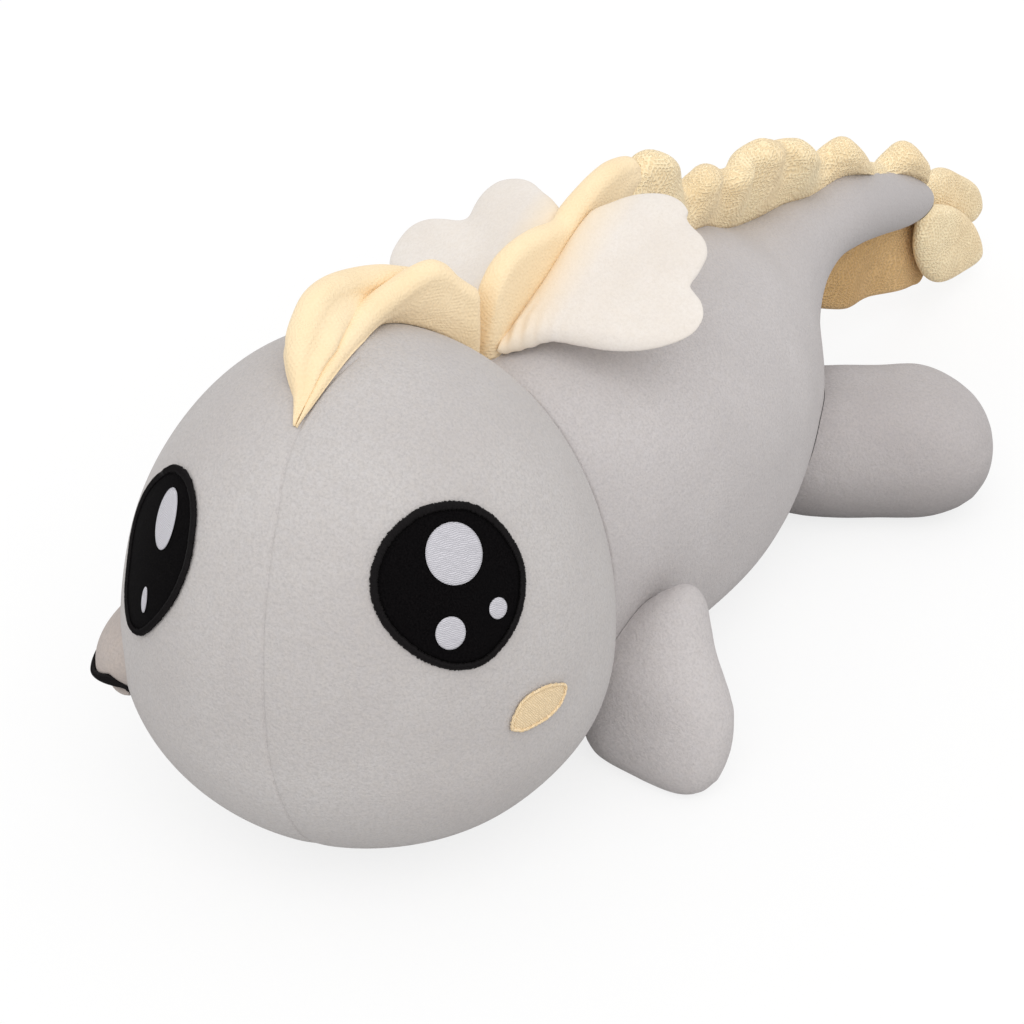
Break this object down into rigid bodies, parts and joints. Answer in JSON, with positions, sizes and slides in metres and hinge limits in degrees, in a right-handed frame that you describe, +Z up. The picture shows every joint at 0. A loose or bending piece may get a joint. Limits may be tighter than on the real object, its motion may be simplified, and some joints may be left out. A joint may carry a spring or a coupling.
{
  "type": "plush dragon",
  "caption": "Stuffed plush dragon lying on its belly, with a round head, soft wings, a padded crest along its back, flippers and a finned tail.",
  "frame": {"origin": "on the flat of the belly where the toy rests, on its middle line, 0.14 m behind the head's middle", "axes": "+Z up from the floor, +Y from the head to the tail along its longest extent, +X to its left side"},
  "size_m": [0.2604, 0.6259, 0.2279],
  "materials": {
    "grey_fabric": "short velvety pile",
    "cream_fabric": "fuzzy, wrinkled nap",
    "white_fabric": "soft short pile",
    "pink_fabric": "soft short pile",
    "black_thread": "black cloth and satin stitch",
    "lilac_thread": "satin stitch",
    "fibre": "loose fibre filling"
  },
  "bodies": {
    "trunk": {"trunk_left_panel": "grey_fabric", "trunk_right_panel": "grey_fabric", "belly_panel": "grey_fabric", "trunk_filling": "fibre", "neck_crest_cover": "cream_fabric", "neck_crest_filling": "fibre", "back_crest_cover": "cream_fabric", "back_crest_filling": "fibre"},
    "head": {"head_left_panel": "grey_fabric", "head_right_panel": "grey_fabric", "head_filling": "fibre", "head_crest_front_cover": "cream_fabric", "head_crest_front_filling": "fibre", "head_crest_rear_cover": "cream_fabric", "head_crest_rear_filling": "fibre", "left_eye_disc": "black_thread", "left_eye_border": "black_thread", "left_eye_glint_1": "lilac_thread", "left_eye_glint_2": "lilac_thread", "left_eye_glint_3": "lilac_thread", "right_eye_disc": "black_thread", "right_eye_border": "black_thread", "right_eye_glint_1": "lilac_thread", "right_eye_glint_2": "lilac_thread", "left_cheek_patch": "cream_fabric", "snout": "pink_fabric", "mouth_line": "black_thread", "lower_lip": "pink_fabric"},
    "tail": {"tail_left_panel": "grey_fabric", "tail_right_panel": "grey_fabric", "tail_filling": "fibre", "tail_crest_cover": "cream_fabric", "tail_crest_filling": "fibre", "upper_lobe_cover": "cream_fabric", "upper_lobe_filling": "fibre", "lower_lobe_cover": "cream_fabric", "lower_lobe_filling": "fibre", "keel_cover": "cream_fabric", "keel_filling": "fibre"},
    "left_flipper": {"left_flipper_rear_panel": "grey_fabric", "left_flipper_front_panel": "grey_fabric", "left_flipper_filling": "fibre"},
    "left_paddle": {"left_paddle_upper_panel": "grey_fabric", "left_paddle_lower_panel": "grey_fabric", "left_paddle_filling": "fibre"},
    "left_wing": {"left_wing_upper_panel": "white_fabric", "left_wing_lower_panel": "white_fabric", "left_wing_filling": "fibre"},
    "right_flipper": {"right_flipper_rear_panel": "grey_fabric", "right_flipper_front_panel": "grey_fabric", "right_flipper_filling": "fibre"},
    "right_paddle": {"right_paddle_upper_panel": "grey_fabric", "right_paddle_lower_panel": "grey_fabric", "right_paddle_filling": "fibre"},
    "right_wing": {"right_wing_upper_panel": "white_fabric", "right_wing_lower_panel": "white_fabric", "right_wing_filling": "fibre"}
  },
  "joints": [
    {"name": "head_turn", "type": "hinge", "parent": "trunk", "child": "head", "pos_m": [0, -0.14, 0.095], "axis": [0, 0, 1], "range_deg": [-10, 10], "stiffness_Nm_per_rad": 0.6},
    {"name": "tail_swing", "type": "hinge", "parent": "trunk", "child": "tail", "pos_m": [0, 0.231, 0.094], "axis": [0, 0, 1], "range_deg": [-12, 12], "stiffness_Nm_per_rad": 0.3},
    {"name": "left_flipper_lift", "type": "hinge", "parent": "trunk", "child": "left_flipper", "pos_m": [0.06678, -0.058, 0.06], "axis": [0, -1, 0], "range_deg": [0, 18], "stiffness_Nm_per_rad": 0.25},
    {"name": "left_paddle_swing", "type": "hinge", "parent": "trunk", "child": "left_paddle", "pos_m": [0.03349, 0.156, 0.03], "axis": [0, 0, 1], "range_deg": [-10, 10], "stiffness_Nm_per_rad": 0.25},
    {"name": "left_wing_flap", "type": "hinge", "parent": "trunk", "child": "left_wing", "pos_m": [0.01035, -0.061, 0.1659], "axis": [0, -0.8949, -0.4462], "range_deg": [-12, 25], "stiffness_Nm_per_rad": 0.05},
    {"name": "right_flipper_lift", "type": "hinge", "parent": "trunk", "child": "right_flipper", "pos_m": [-0.06678, -0.058, 0.06], "axis": [0, 1, 0], "range_deg": [0, 18], "stiffness_Nm_per_rad": 0.25},
    {"name": "right_paddle_swing", "type": "hinge", "parent": "trunk", "child": "right_paddle", "pos_m": [-0.03349, 0.156, 0.03], "axis": [0, 0, 1], "range_deg": [-10, 10], "stiffness_Nm_per_rad": 0.25},
    {"name": "right_wing_flap", "type": "hinge", "parent": "trunk", "child": "right_wing", "pos_m": [-0.01035, -0.061, 0.1659], "axis": [0, 0.8949, 0.4462], "range_deg": [-4, 25], "stiffness_Nm_per_rad": 0.05}
  ]
}
